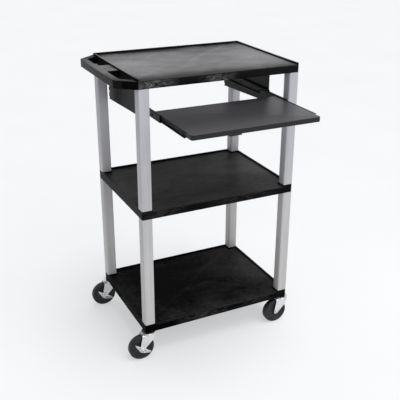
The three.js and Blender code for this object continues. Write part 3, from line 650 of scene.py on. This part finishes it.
def top_shelf_moulding():
    piece = merged_copy("top_shelf", "top_shelf_moulding")
    deck_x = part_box("middle_shelf")[0].x
    mesh = bmesh.from_edit_mesh(piece.data)
    level = max(corner.co.z for corner in mesh.verts if corner.co.x < deck_x - MM)
    for radius, steps, outer in ((HOLE_RIM_ROUNDING, 3, False), (HANDLE_ROUNDING, 5, True)):
        found = pick("EDGE", handle_edge(level, deck_x, outer))
        bpy.ops.mesh.bevel(offset=radius, segments=steps, affect="EDGES", clamp_overlap=True)
        print("handle edges rounded to %.1f mm: %d" % (radius / MM, found))
    close_piece()
    edge = piece.modifiers.new("edge", "BEVEL")
    edge.width = SHELF_EDGE
    edge.segments = 3
    edge.limit_method = "ANGLE"
    edge.angle_limit = math.radians(40)
    edge.use_clamp_overlap = True
    bpy.ops.object.modifier_apply(modifier=edge.name)
    return piece


top_moulding = stand_for(top_shelf_moulding(), "top_shelf")
print("top shelf faces:", len(top_moulding.data.polygons))

# %% [markdown]
# ## Leg tubes
#
# Each leg is a length of square tube with rounded corners. A cube is stretched to the tube's
# outside, its four upright edges are rounded, its two end faces are inset by the wall, and the two
# inset faces are bridged, which drives the square hole through. One tube is made and copied seven
# times. The rounding has six steps, so that the light runs round the corner in one soft band.

# %% Leg tubes
LEG_WALL = 2.5 * MM
LEG_CORNER = 4.5 * MM
LEG_END_ROUNDING = 0.4 * MM


def leg_tube():
    size = size_of("upper_leg_front_left")
    bpy.ops.object.select_all(action="DESELECT")
    bpy.ops.mesh.primitive_cube_add(size=1, location=(0, 0, size.z / 2), scale=size)
    settle("leg_tube")
    open_piece()
    pick("EDGE", edge_along(2))
    bpy.ops.mesh.bevel(offset=LEG_CORNER, segments=6, affect="EDGES")
    pick("FACE", faces_along(2))
    bpy.ops.mesh.inset(thickness=LEG_WALL, use_individual=True)
    bpy.ops.mesh.bridge_edge_loops()
    ends = (0, size.z)
    pick("EDGE", edge_within(lambda place: any(close_to(place.z, end) for end in ends)))
    mesh = bmesh.from_edit_mesh(bpy.context.object.data)
    for edge in mesh.edges:
        if edge.select and edge.calc_face_angle(0) < math.radians(60):
            edge.select_set(False)
    bpy.ops.mesh.bevel(offset=LEG_END_ROUNDING, segments=2, affect="EDGES")
    return close_piece()


tube = leg_tube()
for level in ("upper", "lower"):
    for corner in CORNERS:
        node = "%s_leg_%s" % (level, corner)
        foot = centre_of(node) - Vector((0, 0, size_of(node).z / 2))
        stand_for(copy_at(tube, "leg_tube_%s_%s" % (level, corner), foot), node)
print("leg tube faces:", len(tube.data.polygons))
discard(tube)

# %% [markdown]
# ## Wheels
#
# A caster wheel is moulded in one piece: a rounded tread, a rim, a dished web with one raised ring,
# and a hub with a bore. All of it is turned about the axle, so it starts as a cylinder with both
# end faces picked at once. Each inset is one step towards the axle, and its depth says how far that
# step lies in or out. Bridging the last two faces makes the bore, and a wide bevel rounds the
# tread.

# %% Wheels
TREAD_ROUNDING = 5 * MM
HUB_WIDER = 3 * MM
WHEEL_STEPS = (
    (9.6, 0.0),     # the flat side of the tyre
    (0.6, -0.5),    # the groove between tyre and rim
    (3.0, -3.0),    # the slope down into the dish
    (4.0, 0.0),
    (0.5, 0.5),     # a moulded ring in the dish
    (1.2, 0.0),
    (0.5, -0.5),
    (14.6, 0.0),    # the flat of the dish, up to the hub
    (2.6, 5.0),     # the flank of the hub
    (4.4, 0.0),
    (0.6, -0.6),    # the countersink of the bore
)


def wheel_moulding():
    size = size_of("caster_wheel_front_left")
    tread = size.y - HUB_WIDER
    bpy.ops.object.select_all(action="DESELECT")
    bpy.ops.mesh.primitive_cylinder_add(vertices=96, radius=size.x / 2, depth=tread,
                                        rotation=(math.pi / 2, 0, 0))
    settle("wheel_moulding")
    open_piece()
    pick("FACE", faces_along(1))
    for step, depth in WHEEL_STEPS:
        bpy.ops.mesh.inset(thickness=step * MM, depth=depth * MM, use_individual=True)
    bpy.ops.mesh.bridge_edge_loops()
    rim = size.x / 2
    pick("EDGE", lambda edge: all(close_to(math.hypot(v.co.x, v.co.z), rim) for v in edge.verts)
         and close_to(abs(edge.verts[0].co.y), abs(edge.verts[1].co.y))
         and edge.verts[0].co.y * edge.verts[1].co.y > 0)
    bpy.ops.mesh.bevel(offset=TREAD_ROUNDING, segments=6, affect="EDGES")
    return close_piece(30)


wheel = wheel_moulding()
for corner in CORNERS:
    node = "caster_wheel_" + corner
    stand_for(copy_at(wheel, "wheel_moulding_" + corner, centre_of(node)), node)
print("wheel faces:", len(wheel.data.polygons), "box", [round(v / MM, 1) for v in wheel.dimensions])
discard(wheel)

# %% [markdown]
# ## Tray board and finger pull
#
# The tray is a board whose laminate is wrapped over a softly rounded edge. A cube gets round front
# corners, smaller rear ones, and then a narrow bevel all round its top and bottom outline. The
# finger pull under its front edge is a small moulding: a block that is thinner at the rear, with a
# scoop pressed into its underside for the fingertips.

# %% Tray board and finger pull
TRAY_FRONT_CORNER = 10 * MM
TRAY_REAR_CORNER = 3 * MM
TRAY_EDGE = 1.5 * MM
PULL_TAPER = 2.2 * MM
PULL_WALL = 2 * MM
PULL_SCOOP = 1.6 * MM
PULL_ROUNDING = 0.6 * MM


def block_for(node, name):
    """A cube that fills a CAD node's box."""
    bpy.ops.object.select_all(action="DESELECT")
    bpy.ops.mesh.primitive_cube_add(size=1, location=centre_of(node), scale=size_of(node))
    return settle(name)


def tray_board():
    low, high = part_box("keyboard_tray")
    block_for("keyboard_tray", "tray_board")
    open_piece()
    for at, radius, segments in ((low.y, TRAY_FRONT_CORNER, 8), (high.y, TRAY_REAR_CORNER, 4)):
        pick("EDGE", lambda edge: edge_along(2)(edge) and close_to(edge.verts[0].co.y, at))
        bpy.ops.mesh.bevel(offset=radius, segments=segments, affect="EDGES")
    pick("FACE", faces_along(2))
    bpy.ops.mesh.region_to_loop()
    bpy.ops.mesh.bevel(offset=TRAY_EDGE, segments=4, affect="EDGES")
    return close_piece()


def finger_pull():
    low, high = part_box("tray_pull")
    block_for("tray_pull", "finger_pull")
    open_piece()
    pick("EDGE", lambda edge: edge_along(0)(edge) and close_to(edge.verts[0].co.y, high.y)
         and close_to(edge.verts[0].co.z, low.z))
    bpy.ops.transform.translate(value=(0, 0, PULL_TAPER))
    pick("FACE", lambda face: face.normal.z < -0.9)
    bpy.ops.mesh.inset(thickness=PULL_WALL)
    bpy.ops.transform.translate(value=(0, 0, PULL_SCOOP))
    bpy.ops.mesh.select_all(action="SELECT")
    bpy.ops.mesh.bevel(offset=PULL_ROUNDING, segments=3, affect="EDGES")
    return close_piece()


board = stand_for(tray_board(), "keyboard_tray")
pull = stand_for(finger_pull(), "tray_pull")
print("tray faces:", len(board.data.polygons), "pull faces:", len(pull.data.polygons))

# %% [markdown]
# ## Pan-head screws
#
# Twelve pan-head screws hold the plates and slides. A screw starts as the disc of its head. The
# head's rim is rounded, the underside is inset to the shank's radius and pulled out to the shank's
# length, and the tip is drawn in. Two thin cubes, cut out of the head with a Boolean, leave the
# cross recess. The threads are hidden in the parts that they hold, so they are left plain.

# %% Pan-head screws
SHANK_RADIUS = 2 * MM
RECESS_WIDTH = 1.0 * MM
RECESS_LENGTH = 4.6 * MM
RECESS_DEPTH = 1.1 * MM
SCREW_TIP = 1.4 * MM
TIP_SHARE = 0.35
HEAD_ROUNDING = 0.9 * MM


def cross_recess(head_height):
    """The cutter for the recess: two crossed bars, sunk into the top of the head."""
    bars = []
    for length, width in ((RECESS_LENGTH, RECESS_WIDTH), (RECESS_WIDTH, RECESS_LENGTH)):
        bpy.ops.object.select_all(action="DESELECT")
        bpy.ops.mesh.primitive_cube_add(size=1, location=(0, 0, -head_height),
                                        scale=(length, width, 2 * RECESS_DEPTH))
        bars.append(settle("recess_bar"))
    return bars


def pan_screw(head_radius, head_height, length):
    """A screw whose head lies under the origin and whose shank points up."""
    bpy.ops.object.select_all(action="DESELECT")
    bpy.ops.mesh.primitive_cylinder_add(vertices=40, radius=head_radius, depth=head_height,
                                        location=(0, 0, -head_height / 2))
    screw = settle("pan_screw")
    open_piece()
    pick("FACE", faces_along(2, 1))
    bpy.ops.mesh.inset(thickness=head_radius - SHANK_RADIUS)
    bpy.ops.mesh.extrude_region_move(TRANSFORM_OT_translate={"value": (0, 0, length - SCREW_TIP)})
    bpy.ops.mesh.extrude_region_move(TRANSFORM_OT_translate={"value": (0, 0, SCREW_TIP)})
    bpy.ops.transform.resize(value=(TIP_SHARE, TIP_SHARE, 1))
    pick("EDGE", edge_within(lambda place: close_to(place.z, -head_height)))
    bpy.ops.mesh.bevel(offset=HEAD_ROUNDING, segments=5, affect="EDGES")
    bpy.ops.object.mode_set(mode="OBJECT")
    for bar in cross_recess(head_height):
        cut_away(screw, bar)
    return close_piece(30)


head_size = size_of("plate_screw_front_left")
HEAD_RADIUS = head_size.x / 2
HEAD_HEIGHT = 1.9 * MM
QUARTER = math.pi / 2


def screw_set(kind, turn_for):
    """One screw of each length is made, and turned and copied to its four places."""
    sample = kind + "_front_left"
    length = max(size_of(sample)) - HEAD_HEIGHT
    master = pan_screw(HEAD_RADIUS, HEAD_HEIGHT, length)
    for end in ("front", "rear"):
        for side, sign in SIDES.items():
            node = "%s_%s_%s" % (kind, end, side)
            turn = turn_for(sign)
            points = Matrix.Rotation(turn[1], 3, "Y") @ Vector((0, 0, 1))
            seat = centre_of(node) - points * (length - HEAD_HEIGHT) / 2
            stand_for(copy_at(master, "pan_head_%s_%s_%s" % (kind, end, side), seat, turn), node)
    discard(master)
    return length


for kind, turn_for in (
    ("plate_screw", lambda sign: (0, 0, 0)),
    ("outer_slide_screw", lambda sign: (0, sign * QUARTER, 0)),
    ("inner_slide_screw", lambda sign: (0, -sign * QUARTER, 0)),
):
    print(kind, "length %.1f mm" % (screw_set(kind, turn_for) / MM))

# %% [markdown]
# ## Brake pedals
#
# Each pedal is pressed from sheet: a flat leaf with two pointed wings, a round eye over the axle
# bolt, and a rim turned outwards along its lower edge for the foot. A grid one cell high and many
# cells long stands in the sheet's plane. Its corners are moved column by column onto the leaf's
# outline, the lower edge is pulled out to make the rim, a bevel rounds the fold, and Solidify gives
# the sheet its thickness on the inner side. Two small round holes are punched beside the eye.

# %% Brake pedals
PEDAL_SHEET = 2 * MM
PEDAL_FOLD = 1.6 * MM
PEDAL_TILT = math.radians(34)
PEDAL_HOLE = 2.2 * MM
PEDAL_HOLE_OFFSET = 12.5 * MM
PEDAL_HOLE_DEPTH = 16 * MM
PEDAL_RIM_BELOW = 3.3 * MM
PEDAL_EDGE = 0.3 * MM
# Along the wing in millimetres: place, lower edge and upper edge, from the axle to the tip
PEDAL_OUTLINE = (
    (0, -12, 12), (3, -12, 11.6), (6, -11.8, 10.4), (8.5, -11.3, 8.5), (11, -10.3, 6.2), (14, -8.6, 4.9),
    (20, -5.8, 4.5), (29, -2.0, 4.5), (35, 0.7, 4.5), (37.4, 2.0, 4.4), (38, 2.7, 3.9),
)
PEDAL_COLUMNS = 2 * (len(PEDAL_OUTLINE) - 1)


def shape_leaf():
    """Moves the corners of a unit grid, column by column, onto the pedal's outline."""
    for index in range(PEDAL_COLUMNS + 1):
        step = index - PEDAL_COLUMNS // 2
        along, lower, upper = PEDAL_OUTLINE[abs(step)]
        at = index / PEDAL_COLUMNS - 0.5
        for row, height in ((-0.5, lower), (0.5, upper)):
            pick("VERT", lambda corner: close_to(corner.co.x, at, MM) and close_to(corner.co.z, row, MM))
            shift = (math.copysign(along, step) * MM - at, 0, height * MM - row)
            bpy.ops.transform.translate(value=shift)


def punch(piece, place, radius, depth):
    """Cuts a round hole along Y through a piece."""
    bpy.ops.object.select_all(action="DESELECT")
    bpy.ops.mesh.primitive_cylinder_add(vertices=24, radius=radius, depth=depth, location=place,
                                        rotation=(QUARTER, 0, 0))
    cut_away(piece, settle("punch"))


def pedal_pressing(rim):
    bpy.ops.object.select_all(action="DESELECT")
    bpy.ops.mesh.primitive_grid_add(x_subdivisions=PEDAL_COLUMNS, y_subdivisions=1, size=1,
                                    rotation=(QUARTER, 0, 0))
    pedal = settle("pedal_pressing")
    open_piece()
    shape_leaf()
    pick("EDGE", edge_within(lambda place: place.z < PEDAL_RIM_BELOW))
    bpy.ops.mesh.extrude_edges_move(TRANSFORM_OT_translate={"value": (0, -rim, 0)})
    pick("EDGE", lambda edge: edge.calc_face_angle(0) > math.radians(60))
    bpy.ops.mesh.bevel(offset=PEDAL_FOLD, segments=3, affect="EDGES")
    bpy.ops.object.mode_set(mode="OBJECT")
    sheet = pedal.modifiers.new("sheet", "SOLIDIFY")
    sheet.thickness = PEDAL_SHEET
    sheet.offset = 1
    bpy.ops.object.modifier_apply(modifier="sheet")
    for side in (-1, 1):
        punch(pedal, (side * PEDAL_HOLE_OFFSET, 0, -PEDAL_HOLE), PEDAL_HOLE, PEDAL_HOLE_DEPTH)
    select_only(pedal)
    soft = pedal.modifiers.new("soft", "BEVEL")
    soft.width = PEDAL_EDGE
    soft.segments = 2
    soft.angle_limit = math.radians(40)
    bpy.ops.object.modifier_apply(modifier="soft")
    return close_piece(40)


pressing = pedal_pressing(size_of("brake_pedal_front_left").y)
for corner in LEFT_CORNERS:
    node = "brake_pedal_" + corner
    hub = centre_of("caster_wheel_" + corner)
    hub.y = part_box(node)[1].y
    stand_for(copy_at(pressing, "pedal_pressing_" + corner, hub, (0, PEDAL_TILT, 0)), node)
print("pedal faces:", len(pressing.data.polygons))
discard(pressing)

# %% [markdown]
# ## Rounded edges on the CAD pieces that stay
#
# A moulded or pressed edge is never sharp: it catches a thin line of light. Each CAD piece that is
# shown gets a weld, so that its faces share corners again, and then a bevel on every edge that
# turns more than 30 degrees. The bevel is as wide as the real edge's radius.

# %% Rounded edges on the CAD pieces that stay
EDGE_RADIUS = {"shelf": SHELF_EDGE, "steel": 0.3 * MM}


def round_edges(target, radius, segments):
    weld = target.modifiers.new("weld", "WELD")
    weld.merge_threshold = MERGE_DISTANCE
    bevel = target.modifiers.new("edge", "BEVEL")
    bevel.width = radius
    bevel.segments = segments
    bevel.limit_method = "ANGLE"
    bevel.angle_limit = math.radians(30)
    bevel.use_clamp_overlap = True


shown = [node for node in nodes if not nodes[node].hide_render]
for node in shown:
    kind = "shelf" if node.endswith("_shelf") else "steel"
    round_edges(nodes[node], EDGE_RADIUS[kind], 3 if kind == "shelf" else 2)
print("rounded", len(shown))

# %% [markdown]
# ## Floor, light and camera
#
# The photograph is a studio shot on a pale seamless floor that is also lit from below, so the cart
# has only a faint soft shadow under it. The floor here glows a little for the same reason. The
# light is plain and soft: white walls in front and behind, darker ones at the sides, a wide soft
# light overhead that leans a little to the left and one large soft lamp in front. The wall behind
# is what the top deck mirrors at its low angle.


# %% Floor
def pale_floor():
    r = Recipe("pale_floor")
    cloud = r.noise(r.place(), 1.5, 2.0)
    colour = r.mix(r.remap(cloud, 0.3, 0.7), linear("#a8a9aa"), linear("#abacad"))
    return r.set(Base_Color=colour, Roughness=0.9, Specular_IOR_Level=0.05,
                 Emission_Color=linear("#f5f7f9"), Emission_Strength=0.52)


bpy.ops.object.select_all(action="DESELECT")
bpy.ops.mesh.primitive_plane_add(size=80, location=(0, 0, 0))
floor = bpy.context.object
floor.name = "studio_floor"
floor.data.materials.append(pale_floor())
print("floor laid")

# %% Light
WALL_LIGHT = (0, 0.60, 0)
RIGHT_SIDE_LIGHT = (0.22, -0.05, 0.05)
ROOM_LIGHT = 0.34
world = bpy.data.worlds.new("studio")
bpy.context.scene.world = world
world.use_nodes = True
sky = world.node_tree


def sky_node(kind, operation, **inputs):
    node = sky.nodes.new("ShaderNode" + kind)
    node.operation = operation
    for key, value in inputs.items():
        socket = node.inputs[int(key[-1])]
        if isinstance(value, bpy.types.NodeSocket):
            sky.links.new(value, socket)
        else:
            socket.default_value = value
    return node.outputs


towards = sky.nodes.new("ShaderNodeTexCoord").outputs["Generated"]
either_way = sky_node("VectorMath", "ABSOLUTE", in0=towards)["Vector"]
front_and_back = sky_node("VectorMath", "DOT_PRODUCT", in0=either_way, in1=WALL_LIGHT)["Value"]
right_side = sky_node("VectorMath", "DOT_PRODUCT", in0=towards, in1=RIGHT_SIDE_LIGHT)["Value"]
both = sky_node("Math", "ADD", in0=front_and_back, in1=right_side)["Value"]
strength = sky_node("Math", "ADD", in0=both, in1=ROOM_LIGHT)["Value"]
sky.links.new(strength, sky.nodes["Background"].inputs["Strength"])
sky.nodes["Background"].inputs["Color"].default_value = linear("#fefeff")


def soft_lamp(name, place, size, power, aim=(0, 0, 0.6)):
    lamp = bpy.data.lights.new(name, "AREA")
    lamp.shape = "RECTANGLE"
    lamp.size, lamp.size_y = size
    lamp.energy = power
    holder = bpy.data.objects.new(name, lamp)
    bpy.context.scene.collection.objects.link(holder)
    holder.location = place
    holder.rotation_euler = (Vector(aim) - Vector(place)).to_track_quat("-Z", "Y").to_euler()
    return holder


key = soft_lamp("key_softbox", place=(0.5, -2.7, 3.0), size=(2.4, 2.4), power=30)
overhead = bpy.data.lights.new("overhead_light", "SUN")
overhead.energy = 1.5
overhead.angle = math.radians(36)
ceiling = bpy.data.objects.new("overhead_light", overhead)
bpy.context.scene.collection.objects.link(ceiling)
ceiling.rotation_euler = (math.radians(11), math.radians(9), 0)
print("lit with", key.name, ceiling.name)

# %% Camera
CAMERA_PLACE = Vector((-1.058504, -2.152305, 1.595795))
AZIMUTH, ELEVATION, ROLL = (math.radians(a) for a in (27.368, 23.359, 0.731))
flat_ahead = Vector((math.sin(AZIMUTH), math.cos(AZIMUTH), 0))
ahead = flat_ahead * math.cos(ELEVATION) - Vector((0, 0, math.sin(ELEVATION)))
across = Vector((math.cos(AZIMUTH), -math.sin(AZIMUTH), 0))
above = across.cross(ahead)
rolled_across = math.cos(ROLL) * across + math.sin(ROLL) * above
rolled_above = -math.sin(ROLL) * across + math.cos(ROLL) * above
camera_data = bpy.data.cameras.new("camera")
camera_data.sensor_width = 36
camera_data.lens = 62.73
camera_data.shift_x = -0.0352
camera_data.shift_y = -0.0036
camera = bpy.data.objects.new("camera", camera_data)
bpy.context.scene.collection.objects.link(camera)
turn = Matrix((rolled_across, rolled_above, -ahead)).transposed().to_4x4()
camera.matrix_world = Matrix.Translation(CAMERA_PLACE) @ turn
bpy.context.scene.camera = camera
bpy.context.scene.view_settings.view_transform = "Standard"
print("camera at", tuple(round(v, 3) for v in camera.location))
